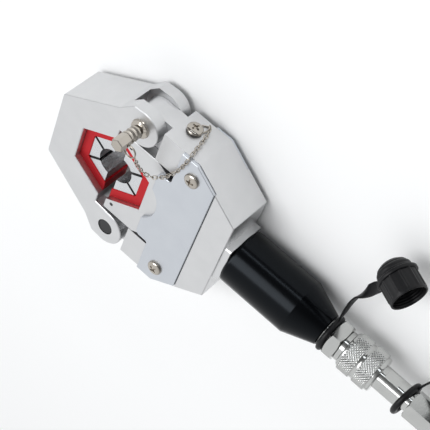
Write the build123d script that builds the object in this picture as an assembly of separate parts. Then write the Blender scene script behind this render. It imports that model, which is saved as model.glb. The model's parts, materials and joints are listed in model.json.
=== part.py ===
from build123d import *
import math
import os

# Hydraulic hose crimping head, lying on its back.
# X runs along the ram towards the hose coupler, Y towards the pull pin, Z up out of the front face.
# The origin is the centre of the closed crimp, half way through the thickness. Millimetres.

os.makedirs("parts", exist_ok=True)

# ---- clearances
slide_clearance = 0.2       # between flat sliding faces
seat_gap = 0.1              # between flat faces that seat on each other in one body
running_clearance = 0.05    # radial, shaft in hole
piece_gap = 0.3             # between curved faces

# ---- head: the C-shaped half that carries the fixed die
head_thickness = 43.0
head_reach = 60.8           # die centre to the far flat
head_flat_half = 37.3       # half the length of the far flat
knee_x = -7.0               # end of the sloping flank
knee_above_pin = 3.0
ear_radius = 17.8
ear_thickness = 11.75
ear_shoulder_x = 5.0
ear_shoulder_above_pin = 16.7
slot_end_x = -2.3           # closed end of the slot between the ears
edge_chamfer = 0.6

# ---- pins
pin_x = 17.2
pin_inset = 19.8            # from the arm's inner side
pin_radius = 7.8
pin_bush_radius = 9.0       # nickel bush pressed in the front ear
pin_bush_rise = 0.8
pin_bush_depth = 5.0
hinge_pin_recess = 0.4
pull_pin_tip = 3.0          # the pull pin's tapered tip
grip_radius = 6.2
grip_neck_radius = 4.9
grip_ribs = 3
grip_rib_pitch = 4.6
pull_head_across_flats = 11.0
pull_head_length = 12.0
cross_hole_inset = 7.8      # ring hole to the pull head's outer end
split_ring_radius = 5.4
split_ring_wire = 0.9
split_ring_offset = 9.6      # ring centre to the pin's axis
split_ring_turn = -25.0      # which way the ring hangs out, from +X
split_ring_clearance = 0.4

# ---- yoke: two arms and the block that carries the cylinder
yoke_face_half = 20.0       # half thickness at the arms and under the covers
arm_width = 32.5
arm_shoulder_x = 38.2
taper_start_x = 76.7
yoke_end_x = 126.1
yoke_end_half = 48.8
cavity_end_x = 82.0
band_start_x = 99.6
band_step = 0.5             # the covers stand proud of the end band
tongue_end_radius = 16.15
collar_half = 21.0
collar_length = 6.1

# ---- cover plates
cover_thickness = 3.0
cover_left_x = 60.2         # edge over the arms
cover_tab_x = 46.7          # edge of the two tabs over the pusher
cover_tab_outer_y = 42.0
cover_tab_inner_y = 20.0
cover_notch_radius = 25.0
cover_side_step = 1.0       # the arm stands out past the cover
cover_edge_gap = 0.6        # to the band
cover_screw_x = 76.7
cover_screw_inset = 13.6    # from the arm's inner side
screw_radius = 4.0
screw_head_radius = 7.0
screw_head_height = 3.4
screw_length = 12.0

# ---- dies
cavity_half_flat = 33.0     # die centre to each flat of the hexagonal seat
die_frame_wall = 9.6
die_frame_half_depth = 15.5
jaw_half_depth = 14.8
spacer_side = 1.6           # a jaw's side to the line through the hexagon's corner
die_bore_radius = 14.0
spacer_width = 2.2
spacer_half_depth = 14.2
dowel_radius = 2.5
dowel_half_length = 5.0

# ---- pusher and ram
ram_stroke = 7.5
split_gap = 0.2             # left between the two halves when closed
pusher_half_width = 48.5
pusher_shoulder_x = 41.7    # where the sides start to slope in
pusher_back_half = 27.5
pusher_back_clearance = 1.3
wing_hole_x = 14.7
wing_hole_y = 39.0
wing_hole_radius = 1.8
wing_hole_depth = 6.0
rod_radius = 9.0
rod_spigot_radius = 6.5
rod_spigot_length = 14.0

# ---- cylinder
barrel_radius = 25.7
barrel_length = 67.5        # parallel part
barrel_lead = 3.2           # rounded front corner
nose_length = 29.0
nose_radius = 15.4
spigot_radius = 17.9
spigot_length = 18.0
bore_radius = 15.5
bore_end_wall = 24.0        # from the end of the bore to the end of the nose
piston_length = 16.0
piston_back_gap = 2.0
seal_width = 4.0
seal_depth = 2.2
bush_outer_radius = 11.5
bush_length = 24.0
wiper_start = 2.0
wiper_length = 3.0
bush_gap = 0.2
spring_wire_radial = 2.4     # rectangular wire, as in a die spring
spring_wire_axial = 3.0
spring_coils = 6
passage_radius = 3.0

# ---- coupler
port_thread_radius = 8.0
port_thread_depth = 13.0
groove_radius = 11.5
groove_length = 7.0
adapter_across_flats = 32.0
adapter_turn = 8.0
adapter_length = 10.5
adapter_thread_length = 9.0
neck_radius = 14.0
neck_visible = 4.5
neck_in_sleeve = 18.0
sleeve_radius = 18.2
sleeve_waist_radius = 17.0
sleeve_band_length = 12.4
sleeve_waist_length = 3.2
sleeve_lead = 2.6
sleeve_end_length = 3.6
sleeve_end_radius = 16.4
tube_radius = 11.0
tube_visible = 26.5
tube_flange_length = 4.0
flat_across = 19.4
flat_start = 4.0            # from the sleeve's end
flat_length = 13.0
ring_wire_radius = 2.7      # rubber rings that hold the dust caps
end_neck_radius = 9.0
end_neck_length = 6.0
end_across_flats = 24.0
end_turn = 18.0
end_length = 30.0
inlet_radius = 7.5
inlet_depth = 16.0
adapter_thread_radius = 9.0
nozzle_bore_radius = 8.4    # the hose-side half's nozzle slides in here
nozzle_depth = 7.0
sleeve_lip = 4.5
end_thread_radius = 7.0
end_thread_length = 12.0

# ---- dust cap
cap_radius = 15.6
cap_wall = 1.5
cap_depth = 18.0
brim_radius = 17.2
brim_thickness = 3.2
dome_radius = 15.0
dome_height = 12.0
dome_ridges = 4
ridge_depth = 0.55
cap_ribs = 12
cap_rib_radius = 0.7
cap_rib_inset = 2.4         # from the rib's end to the mouth
cap_tilt = 25.0             # mouth raised from the X axis
first_cap_from_ring = (18.9, 110.2, 2.3)
second_cap_from_ring = (32.4, 95.0, 2.3)
second_ring_tilt = -8.0
second_ring_inset = 5.0     # ring centre to the end hexagon
# hand-laid routes of the rubber straps, from each ring's centre out to its cap's brim
first_strap_route = [
    (0.0, 17.0, -3.5), (-1.3, 34.0, -6.4), (1.0, 51.0, -5.4), (6.2, 67.0, -1.6),
    (11.2, 83.5, 5.4), (15.3, 97.0, 12.8),
]
second_strap_route = [
    (3.1, 14.8, -6.7), (7.0, 29.0, -8.0), (14.0, 43.0, -6.4), (20.6, 57.0, -2.0),
    (25.2, 69.6, 4.8), (28.8, 81.8, 12.8),
]
strap_thickness = 2.2
strap_width = 5.0

# ---- chain
chain_screw_x = 51.0
chain_screw_z = -2.8
chain_radius = 1.2          # of the plain core; the links stand around it
chain_ring_radius = 6.4
chain_ring_wire = 0.75
chain_ring_offset = 1.6     # the end ring hangs to one side of the screw
chain_ring_turn = -40.0
# hand-laid route from the screw's ring, over the arm's edge and across the cover to the pull pin
chain_route = [
    (57.9, 83.2, -8.0), (63.0, 84.0, -10.2), (66.4, 84.4, -5.0), (65.6, 84.6, 3.6),
    (65.2, 84.4, 12.4), (66.6, 84.6, 20.4), (67.8, 79.6, 25.8), (64.6, 67.6, 25.6),
    (60.0, 56.4, 25.4), (55.0, 46.6, 25.3), (48.4, 39.0, 25.8), (40.6, 37.2, 28.6),
    (34.8, 43.6, 33.6), (33.2, 52.6, 39.0), (32.6, 60.0, 42.2),
]


# ---- shapes that come again and again
def prism(points, z_low, z_high):
    """A flat outline, counted round once, raised from z_low to z_high."""
    face = make_face(Polyline(*points, close=True))
    return Pos(0, 0, z_low) * extrude(face, amount=z_high - z_low)


def both_sides(half_outline):
    """An outline on the +Y side, closed with its mirror image on the -Y side."""
    return half_outline + [(x, -y) for x, y in reversed(half_outline) if abs(y) > 1e-9]


def turned(profile):
    """(x, radius) points turned about the ram axis."""
    return revolve(make_face(Polyline(*profile, close=True)), Axis.X, 360)


def turned_up(profile, x, y):
    """(radius, z) points turned about an upright axis through x, y."""
    face = make_face(Polyline(*[(r, 0, z) for r, z in profile], close=True))
    return Pos(x, y, 0) * revolve(face, Axis.Z, 360)


def rod_x(radius, x_low, x_high):
    return Pos((x_low + x_high) / 2, 0, 0) * Rot(0, 90, 0) * Cylinder(radius, x_high - x_low)


def rod_z(radius, z_low, z_high, x, y):
    return Pos(x, y, (z_low + z_high) / 2) * Cylinder(radius, z_high - z_low)


def box_between(low, high):
    size = [b - a for a, b in zip(low, high)]
    middle = [(a + b) / 2 for a, b in zip(low, high)]
    return Pos(*middle) * Box(*size)


def hexagon_x(across_flats, x_low, x_high):
    """A hexagonal bar along X with its end corners turned down."""
    corner = across_flats / math.sqrt(3)
    bar = Rot(0, 90, 0) * extrude(RegularPolygon(corner, 6), amount=x_high - x_low)
    turn_down = corner - across_flats / 2
    lead = turn_down * math.tan(math.radians(30))
    limit = turned([
        (x_low, 0), (x_low, corner - turn_down), (x_low + lead, corner + 0.05),
        (x_high - lead, corner + 0.05), (x_high, corner - turn_down), (x_high, 0),
    ])
    return Pos(x_low, 0, 0) * bar & limit


def upright_edges(part, places, reach=0.2):
    """The part's edges along Z that stand at the given x, y places."""
    found = []
    for edge in part.edges().filter_by(Axis.Z):
        middle = edge.center()
        if any(math.hypot(middle.X - x, middle.Y - y) < reach for x, y in places):
            found.append(edge)
    return found


def save(part, name):
    export_step(part, f"parts/{name}.step")


# ---- places worked out from the sizes above
head_half = head_thickness / 2
pusher_half_thickness = yoke_face_half - slide_clearance
band_face_half = yoke_face_half + cover_thickness - band_step
arm_inner_y = pusher_half_width + slide_clearance
tongue_inner_y = arm_inner_y + slide_clearance
arm_outer_y = arm_inner_y + arm_width
pin_y = arm_inner_y + pin_inset
knee_y = pin_y + knee_above_pin
ear_shoulder_y = pin_y + ear_shoulder_above_pin
cover_outer_y = arm_outer_y - cover_side_step
cover_screw_y = arm_inner_y + cover_screw_inset
slot_half = head_half - ear_thickness
tongue_half = slot_half - slide_clearance
collar_end_x = yoke_end_x + collar_length
nose_start_x = collar_end_x + barrel_length
nose_end_x = nose_start_x + nose_length
pusher_face_x = ram_stroke + split_gap      # split face at rest, open
bore_start_x = collar_end_x - spigot_length
bore_end_x = nose_end_x - bore_end_wall
piston_back_x = bore_end_x - piston_back_gap
piston_front_x = piston_back_x - piston_length
pusher_back_x = cavity_end_x - pusher_back_clearance
groove_end_x = nose_end_x + groove_length
adapter_end_x = groove_end_x + adapter_length
sleeve_start_x = adapter_end_x + neck_visible
sleeve_length = sleeve_lead + 2 * sleeve_band_length + sleeve_waist_length + sleeve_end_length
sleeve_end_x = sleeve_start_x + sleeve_length
tube_end_x = sleeve_end_x + tube_visible
end_start_x = tube_end_x + end_neck_length
end_end_x = end_start_x + end_length
cover_outer_z = yoke_face_half + cover_thickness
bush_start_x = cavity_end_x + wiper_start + wiper_length + bush_gap
jaw_back = cavity_half_flat - die_frame_wall - seat_gap


# ---- head block
def hexagon_half(half_flat, split_x, side):
    """Half of a hexagonal seat, open at x = split_x and closed on the given side (-1 or +1)."""
    half_side = half_flat / math.sqrt(3)
    return [
        (split_x, 2 * half_side),
        (split_x + side * half_flat, half_side),
        (split_x + side * half_flat, -half_side),
        (split_x, -2 * half_side),
    ]


def make_head():
    flank = both_sides([
        (-head_reach, head_flat_half),
        (knee_x, knee_y),
        (ear_shoulder_x, ear_shoulder_y),
        (pin_x, pin_y + ear_radius),
        (pin_x, pin_y - ear_radius),
        (0, arm_inner_y),
        (0, 0),
    ])
    body = prism(flank, -head_half, head_half)
    for side in (-1, 1):
        body += rod_z(ear_radius, -head_half, head_half, pin_x, side * pin_y)
    body -= prism(hexagon_half(cavity_half_flat, 0, -1), -head_half, head_half)
    corners = [(x, side * y) for side in (-1, 1) for x, y in (
        (-head_reach, head_flat_half), (ear_shoulder_x, ear_shoulder_y), (knee_x, knee_y))]
    body = fillet(upright_edges(body, corners), 3.0)
    for face_z in (-head_half, head_half):
        outline = body.faces().filter_by(Axis.Z).sort_by(lambda f: abs(f.center().Z - face_z))[0]
        body = chamfer(outline.edges(), edge_chamfer)
    for side in (-1, 1):
        slot_y = side * (arm_inner_y - 1.0)
        far_y = side * (pin_y + ear_radius + 2)
        body -= box_between(
            (slot_end_x, min(slot_y, far_y), -slot_half),
            (pin_x + ear_radius + 1, max(slot_y, far_y), slot_half),
        )
        hole_radius = pin_radius + running_clearance
        body -= rod_z(hole_radius, -head_half - 1, head_half + 1, pin_x, side * pin_y)
    body -= rod_z(pin_bush_radius, head_half - pin_bush_depth, head_half + 1, pin_x, pin_y)
    body -= dowel_hole(-cavity_half_flat)
    return body


def dowel_hole(seat_x):
    return rod_x(dowel_radius + running_clearance, seat_x - dowel_half_length - 0.5,
                 seat_x + dowel_half_length + 0.5)


def make_dowel(seat_x):
    return rod_x(dowel_radius, seat_x - dowel_half_length, seat_x + dowel_half_length)


# ---- yoke body
def yoke_outline_half():
    return [
        (arm_shoulder_x, arm_outer_y),
        (taper_start_x, arm_outer_y),
        (yoke_end_x, yoke_end_half),
        (yoke_end_x, 0),
    ]


def taper_half_at(x):
    """Half width of the yoke where its sides slope in."""
    share = (x - taper_start_x) / (yoke_end_x - taper_start_x)
    return arm_outer_y + share * (yoke_end_half - arm_outer_y)


def make_yoke():
    outline = both_sides(
        [(cavity_end_x, arm_inner_y), (arm_shoulder_x, arm_inner_y)] + yoke_outline_half()
    )
    body = prism(outline, -yoke_face_half, yoke_face_half)
    band = both_sides([
        (band_start_x, taper_half_at(band_start_x)), (yoke_end_x, yoke_end_half), (yoke_end_x, 0)])
    body += prism(band, -band_face_half, band_face_half)
    band_corners = [(yoke_end_x, side * yoke_end_half) for side in (-1, 1)]
    shoulder_corners = [(taper_start_x, side * arm_outer_y) for side in (-1, 1)]
    body = fillet(upright_edges(body, band_corners), 2.0)
    body = fillet(upright_edges(body, shoulder_corners), 5.0)
    for face_z in (-band_face_half, band_face_half):
        outline = body.faces().filter_by(Axis.Z).sort_by(lambda f: abs(f.center().Z - face_z))[0]
        body = chamfer(outline.edges(), edge_chamfer)
    for side in (-1, 1):
        low_y = min(side * tongue_inner_y, side * arm_outer_y)
        high_y = max(side * tongue_inner_y, side * arm_outer_y)
        tongue = box_between((pin_x, low_y, -tongue_half), (arm_shoulder_x, high_y, tongue_half))
        tongue_middle = side * (tongue_inner_y + arm_outer_y) / 2
        tongue += rod_z(tongue_end_radius, -tongue_half, tongue_half, pin_x, tongue_middle)
        body += tongue
        hole_radius = pin_radius + running_clearance
        body -= rod_z(hole_radius, -tongue_half - 1, tongue_half + 1, pin_x, side * pin_y)
        for face in (-1, 1):
            hole_low = min(face * (yoke_face_half + 1), face * (yoke_face_half - screw_length))
            hole_high = max(face * (yoke_face_half + 1), face * (yoke_face_half - screw_length))
            body -= rod_z(screw_radius + seat_gap, hole_low, hole_high, cover_screw_x,
                          side * cover_screw_y)
    collar = box_between((yoke_end_x - 1, -collar_half, -collar_half),
                         (collar_end_x, collar_half, collar_half))
    body += chamfer(collar.edges().filter_by(Axis.X), 1.2)
    body -= rod_x(rod_radius + 0.5, cavity_end_x - 1, bore_start_x + 1)
    body -= rod_x(bush_outer_radius, cavity_end_x + wiper_start, bore_start_x + 1)
    body -= rod_x(spigot_radius + seat_gap, bore_start_x, collar_end_x + 1)
    body -= chain_screw_hole()
    return body


def chain_screw_hole():
    deep = screw_length + 1
    return (Pos(chain_screw_x, arm_outer_y - deep / 2, chain_screw_z) * Rot(90, 0, 0)
            * Cylinder(screw_radius + seat_gap, deep + 0.02))


# ---- cover plate, drawn for the front; the rear one is its mirror image
def make_cover():
    right_x = band_start_x - cover_edge_gap
    notch_middle_x = cover_tab_x - math.sqrt(cover_notch_radius**2 - cover_tab_inner_y**2)
    half = [
        (cover_tab_x, cover_tab_inner_y),
        (cover_tab_x, cover_tab_outer_y),
        (cover_left_x, cover_tab_outer_y),
        (cover_left_x, cover_outer_y),
        (taper_start_x, cover_outer_y),
        (right_x, taper_half_at(right_x) - (arm_outer_y - cover_outer_y)),
    ]
    plate = prism(both_sides(half), yoke_face_half, cover_outer_z)
    plate -= rod_z(cover_notch_radius, yoke_face_half - 1, cover_outer_z + 1, notch_middle_x, 0)
    rounded = [(cover_left_x, s * cover_tab_outer_y) for s in (-1, 1)]
    rounded += [(taper_start_x, s * cover_outer_y) for s in (-1, 1)]
    plate = fillet(upright_edges(plate, rounded), 2.5)
    tips = [(cover_tab_x, s * cover_tab_outer_y) for s in (-1, 1)]
    plate = fillet(upright_edges(plate, tips), 5.0)
    top = plate.faces().sort_by(Axis.Z)[-1]
    plate = chamfer(top.edges(), 0.4)
    for side in (-1, 1):
        plate -= rod_z(screw_radius + seat_gap, yoke_face_half - 1, cover_outer_z + 1,
                       cover_screw_x, side * cover_screw_y)
    return plate


def pan_screw(shank):
    """A pan head screw with its seat at z = 0 and its shank below."""
    head = turned_up([
        (0, 0), (screw_head_radius, 0), (screw_head_radius, 0.35 * screw_head_height),
        (0.86 * screw_head_radius, 0.74 * screw_head_height),
        (0.55 * screw_head_radius, 0.95 * screw_head_height), (0, screw_head_height),
    ], 0, 0)
    return head + Pos(0, 0, -shank / 2) * Cylinder(screw_radius, shank)


def make_cover_screws():
    screws = []
    for side in (-1, 1):
        shank = cover_thickness + screw_length - 1
        at_front = Pos(cover_screw_x, side * cover_screw_y, cover_outer_z)
        screws.append(at_front * pan_screw(shank))
        screws.append(mirror(at_front * pan_screw(shank), Plane.XY))
    return Compound(children=screws)


def make_chain_screw():
    seat_y = arm_outer_y + 2 * chain_ring_wire
    return Pos(chain_screw_x, seat_y, chain_screw_z) * Rot(-90, 0, 0) * pan_screw(screw_length)


# ---- hinge pin, pull pin
def make_hinge_pin():
    half = head_half - hinge_pin_recess
    pin = rod_z(pin_radius, -half, half, pin_x, -pin_y)
    return chamfer(pin.edges().filter_by(GeomType.CIRCLE), 1.0)


def make_pull_pin_bush():
    bush = rod_z(pin_bush_radius - running_clearance, head_half - pin_bush_depth,
                 head_half + pin_bush_rise, pin_x, pin_y)
    rim = bush.edges().filter_by(GeomType.CIRCLE).sort_by(Axis.Z)[-1]
    bush = chamfer(rim, 0.5)
    return bush - rod_z(pin_radius + running_clearance, head_half - pin_bush_depth - 1,
                        head_half + pin_bush_rise + 1, pin_x, pin_y)


def make_pull_pin():
    seat_z = head_half + pin_bush_rise
    profile = [
        (0, -head_half), (pin_radius - 2.0, -head_half), (pin_radius, -head_half + pull_pin_tip),
        (pin_radius, seat_z), (pin_bush_radius - 0.6, seat_z), (pin_bush_radius - 0.6, seat_z + 1.2),
        (grip_radius, seat_z + 2.2), (grip_neck_radius, seat_z + 2.8),
    ]
    rib_z = seat_z + 2.8
    for _ in range(grip_ribs):
        profile += [
            (grip_radius - 0.3, rib_z + 0.25 * grip_rib_pitch),
            (grip_radius, rib_z + 0.5 * grip_rib_pitch),
            (grip_radius - 0.3, rib_z + 0.75 * grip_rib_pitch),
            (grip_neck_radius, rib_z + grip_rib_pitch),
        ]
        rib_z += grip_rib_pitch
    profile.append((0, rib_z))
    pin = turned_up(profile, pin_x, pin_y)
    corner = pull_head_across_flats / math.sqrt(3)
    head = extrude(RegularPolygon(corner, 6), amount=pull_head_length)
    head = chamfer(head.faces().sort_by(Axis.Z)[-1].edges(), 0.6)
    pin += Pos(pin_x, pin_y, rib_z - 0.01) * Rot(0, 0, split_ring_turn) * head
    pin -= Pos(*ring_centre()) * Torus(split_ring_radius, split_ring_wire + split_ring_clearance)
    return pin


def pull_head_hole_z():
    seat_z = head_half + pin_bush_rise
    return seat_z + 2.8 + grip_ribs * grip_rib_pitch + pull_head_length - cross_hole_inset


def ring_centre():
    """Centre of the split ring, which passes through the corner of the pull pin's head."""
    turn = math.radians(split_ring_turn)
    return (pin_x + split_ring_offset * math.cos(turn),
            pin_y + split_ring_offset * math.sin(turn), pull_head_hole_z())


def make_split_ring():
    return Pos(*ring_centre()) * Torus(split_ring_radius, split_ring_wire)


# ---- dies: two half-hexagon frames, three jaws and two rubber spacers in each
def make_die_frame(split_x, side):
    outer = hexagon_half(cavity_half_flat - seat_gap, 0, side)
    inner = hexagon_half(cavity_half_flat - die_frame_wall, 0, side)
    frame = prism(outer, -die_frame_half_depth, die_frame_half_depth)
    frame -= prism(inner, -die_frame_half_depth - 1, die_frame_half_depth + 1)
    flat_face = frame.faces().filter_by(Axis.Z)
    frame = chamfer(flat_face.edges(), 0.5)
    frame -= dowel_hole(side * cavity_half_flat)
    return Pos(split_x, 0, 0) * frame


def make_jaw(split_x, angle):
    """A wedge that fills a sixth of the hexagon between the frame's flat and the bore."""
    half_side = jaw_back * math.tan(math.radians(30)) - spacer_side
    bore_side = die_bore_radius * 0.6 * math.tan(math.radians(30)) - spacer_side
    wedge = prism([
        (die_bore_radius * 0.6, -bore_side), (jaw_back, -half_side),
        (jaw_back, half_side), (die_bore_radius * 0.6, bore_side),
    ], -jaw_half_depth, jaw_half_depth)
    wedge = Rot(0, 0, angle) * wedge
    wedge -= rod_z(die_bore_radius, -jaw_half_depth - 1, jaw_half_depth + 1, 0, 0)
    return Pos(split_x, 0, 0) * wedge


def make_spacers(split_x, side):
    """Radial rubber strips that hold the jaws apart at the frame's two closed corners."""
    inner_r = die_bore_radius + 1.2
    outer_r = jaw_back / math.cos(math.radians(30)) - 1.6
    strips = []
    for turn in (-30, 30):
        angle = turn if side > 0 else 180 + turn
        strip = box_between((inner_r, -spacer_width / 2, -spacer_half_depth),
                            (outer_r, spacer_width / 2, spacer_half_depth))
        strips.append(Pos(split_x, 0, 0) * Rot(0, 0, angle) * strip)
    return Compound(children=strips)


def make_pusher():
    start = pusher_face_x
    body = prism(both_sides([
        (start, pusher_half_width), (pusher_shoulder_x, pusher_half_width),
        (pusher_back_x, pusher_back_half), (pusher_back_x, 0),
    ]), -pusher_half_thickness, pusher_half_thickness)
    body -= prism(hexagon_half(cavity_half_flat + 0.001, start, 1),
                  -pusher_half_thickness - 1, pusher_half_thickness + 1)
    slope_corners = [(pusher_shoulder_x, s * pusher_half_width) for s in (-1, 1)]
    body = fillet(upright_edges(body, slope_corners), 3.0)
    for face_z in (-pusher_half_thickness, pusher_half_thickness):
        outline = body.faces().filter_by(Axis.Z).sort_by(lambda f: abs(f.center().Z - face_z))[0]
        body = chamfer(outline.edges(), 0.4)
    for side in (-1, 1):
        body -= rod_z(wing_hole_radius, pusher_half_thickness - wing_hole_depth,
                      pusher_half_thickness + 1, wing_hole_x, side * wing_hole_y)
    body -= Pos(start, 0, 0) * dowel_hole(cavity_half_flat)
    body -= rod_x(rod_spigot_radius + seat_gap, pusher_back_x - rod_spigot_length, pusher_back_x + 1)
    return body


def make_ram_rod():
    rod = rod_x(rod_spigot_radius, pusher_back_x - rod_spigot_length + 0.5, pusher_back_x + 0.5)
    rod += rod_x(rod_radius, pusher_back_x, piston_front_x)
    rod += rod_x(rod_spigot_radius, piston_front_x, piston_back_x - 1)
    return rod


def make_piston():
    outer = bore_radius - running_clearance
    groove_r = outer - seal_depth
    seal_x = piston_front_x + (piston_length - seal_width) / 2
    profile = [
        (piston_front_x, rod_spigot_radius + running_clearance), (piston_front_x, outer),
        (seal_x, outer), (seal_x, groove_r), (seal_x + seal_width, groove_r),
        (seal_x + seal_width, outer), (piston_back_x, outer),
        (piston_back_x, rod_spigot_radius + running_clearance),
    ]
    return turned(profile)


def make_piston_seal():
    outer = bore_radius - running_clearance
    groove_r = outer - seal_depth
    seal_x = piston_front_x + (piston_length - seal_width) / 2
    return turned([
        (seal_x + seat_gap, groove_r + seat_gap), (seal_x + seat_gap, outer - 0.3),
        (seal_x + seat_gap + 0.6, outer), (seal_x + seal_width - seat_gap - 0.6, outer),
        (seal_x + seal_width - seat_gap, outer - 0.3),
        (seal_x + seal_width - seat_gap, groove_r + seat_gap),
    ])


def make_return_spring():
    """Rectangular wire wound about the rod, between the bush and the piston."""
    length = piston_front_x - bore_start_x - 2 * seat_gap - spring_wire_axial
    mean_radius = bore_radius - piece_gap - spring_wire_radial / 2
    path = Helix(pitch=length / spring_coils, height=length, radius=mean_radius)
    section = Plane(origin=path @ 0, z_dir=(0, 1, 0), x_dir=(1, 0, 0)) * Rectangle(
        spring_wire_radial, spring_wire_axial)
    coil = sweep(section, path, is_frenet=True)
    return Pos(bore_start_x + seat_gap + spring_wire_axial / 2, 0, 0) * Rot(0, 90, 0) * coil


def make_rod_bush():
    low = bush_start_x
    high = bush_start_x + bush_length
    return turned([
        (low, rod_radius + running_clearance), (low, bush_outer_radius - 0.02),
        (high, bush_outer_radius - 0.02), (high, rod_radius + running_clearance),
    ])


def make_rod_wiper():
    low = cavity_end_x + wiper_start
    high = low + wiper_length
    return turned([
        (low, rod_radius + running_clearance), (low, bush_outer_radius - seat_gap),
        (high, bush_outer_radius - seat_gap), (high, rod_radius + 0.6),
    ])


# ---- cylinder barrel with its cone-shaped nose
def make_barrel():
    profile = [
        (bore_start_x, bore_radius), (bore_start_x, spigot_radius - 0.6),
        (bore_start_x + 0.6, spigot_radius), (collar_end_x, spigot_radius),
        (collar_end_x, barrel_radius - barrel_lead),
    ]
    for step in range(1, 6):
        turn = math.radians(90 * step / 5)
        profile.append((collar_end_x + barrel_lead * (1 - math.cos(turn)),
                        barrel_radius - barrel_lead * (1 - math.sin(turn))))
    profile += [
        (nose_start_x, barrel_radius), (nose_end_x - 0.8, nose_radius),
        (nose_end_x, nose_radius - 0.8), (nose_end_x, port_thread_radius),
        (nose_end_x - port_thread_depth, port_thread_radius),
        (nose_end_x - port_thread_depth, passage_radius), (bore_end_x, passage_radius),
        (bore_end_x, bore_radius),
    ]
    return turned(profile)


# ---- hex adapter and screw coupler
def make_adapter():
    body = rod_x(port_thread_radius - running_clearance, nose_end_x - port_thread_depth + 1,
                 nose_end_x)
    body += rod_x(groove_radius, nose_end_x, groove_end_x)
    body += Rot(adapter_turn, 0, 0) * hexagon_x(adapter_across_flats, groove_end_x, adapter_end_x)
    thread_end_x = adapter_end_x + adapter_thread_length
    body += rod_x(adapter_thread_radius, adapter_end_x, thread_end_x)
    body -= rod_x(passage_radius, nose_end_x - port_thread_depth, thread_end_x)
    return body


def make_coupler_body():
    """The fixed half: a threaded socket that the sleeve screws onto."""
    start = adapter_end_x + seat_gap
    end = sleeve_start_x + neck_in_sleeve
    profile = [
        (start, adapter_thread_radius + running_clearance), (start, neck_radius - 0.6),
        (start + 0.6, neck_radius), (end - 0.8, neck_radius), (end, neck_radius - 0.8),
        (end, nozzle_bore_radius), (adapter_end_x + adapter_thread_length + 2, nozzle_bore_radius),
        (adapter_end_x + adapter_thread_length + 2, adapter_thread_radius + running_clearance),
    ]
    return turned(profile)


def make_coupler_sleeve():
    start = sleeve_start_x
    band_1 = start + sleeve_lead
    waist = band_1 + sleeve_band_length
    band_2 = waist + sleeve_waist_length
    end_band = band_2 + sleeve_band_length
    end = end_band + sleeve_end_length
    inner = neck_radius + running_clearance
    shoulder_x = end - sleeve_lip
    profile = [
        (start, inner), (start, sleeve_waist_radius - 1.6), (start + 0.8, sleeve_waist_radius - 0.8),
        (band_1, sleeve_waist_radius), (band_1 + 0.6, sleeve_radius), (waist - 0.6, sleeve_radius),
        (waist, sleeve_waist_radius), (band_2, sleeve_waist_radius),
        (band_2 + 0.6, sleeve_radius), (end_band - 0.6, sleeve_radius),
        (end_band, sleeve_end_radius), (end - 0.9, sleeve_end_radius),
        (end, sleeve_end_radius - 0.9), (end, tube_radius + running_clearance),
        (shoulder_x, tube_radius + running_clearance), (shoulder_x, inner),
    ]
    return turned(profile)


def make_coupler_tube():
    """The hose-side half: its flange is held inside the sleeve."""
    flange_end = sleeve_end_x - sleeve_lip - slide_clearance
    flange_start = flange_end - tube_flange_length
    nozzle_start = sleeve_start_x + neck_in_sleeve - nozzle_depth
    profile = [
        (nozzle_start, passage_radius), (nozzle_start, nozzle_bore_radius - running_clearance),
        (flange_start, nozzle_bore_radius - running_clearance),
        (flange_start, neck_radius - running_clearance),
        (flange_end, neck_radius - running_clearance), (flange_end, tube_radius),
        (tube_end_x - 0.6, tube_radius), (tube_end_x, tube_radius - 0.6),
        (tube_end_x, end_neck_radius), (end_start_x, end_neck_radius),
        (end_start_x, end_thread_radius), (end_start_x + end_thread_length, end_thread_radius),
        (end_start_x + end_thread_length, passage_radius),
    ]
    tube = turned(profile)
    flats_x = sleeve_end_x + flat_start
    for side in (-1, 1):
        near_y = side * flat_across / 2
        far_y = side * (tube_radius + 1)
        flat = box_between((flats_x, min(near_y, far_y), -tube_radius - 1),
                           (flats_x + flat_length, max(near_y, far_y), tube_radius + 1))
        tube -= flat
    return tube


def make_end_fitting():
    body = Rot(end_turn, 0, 0) * hexagon_x(end_across_flats, end_start_x + seat_gap, end_end_x)
    thread_end = end_start_x + end_thread_length + 1
    body -= rod_x(end_thread_radius + running_clearance, end_start_x - 1, thread_end)
    body -= rod_x(passage_radius, end_start_x, end_end_x)
    body -= rod_x(inlet_radius, end_end_x - inlet_depth, end_end_x + 1)
    return body


# ---- rubber rings, straps and dust caps
def make_ring(x, inner, turn):
    major = inner + ring_wire_radius
    ring = Rot(0, 90, 0) * Torus(major, ring_wire_radius)
    return Pos(x, 0, 0) * Rot(0, turn, 0) * ring


def dome_profile():
    """The dome's outline from its tip down to the brim: an ellipse with a groove above each ridge."""
    points = [(0, -dome_height)]
    step = 90 / (dome_ridges + 1)
    for k in range(dome_ridges, 0, -1):
        for turn, depth in ((step * k, 0), (step * (k - 0.3), 0), (step * (k - 0.45), ridge_depth)):
            angle = math.radians(turn)
            points.append(((dome_radius - depth) * math.cos(angle),
                           -(dome_height - depth) * math.sin(angle)))
    return points + [(dome_radius, -0.1 * dome_height), (dome_radius, 0)]


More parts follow.
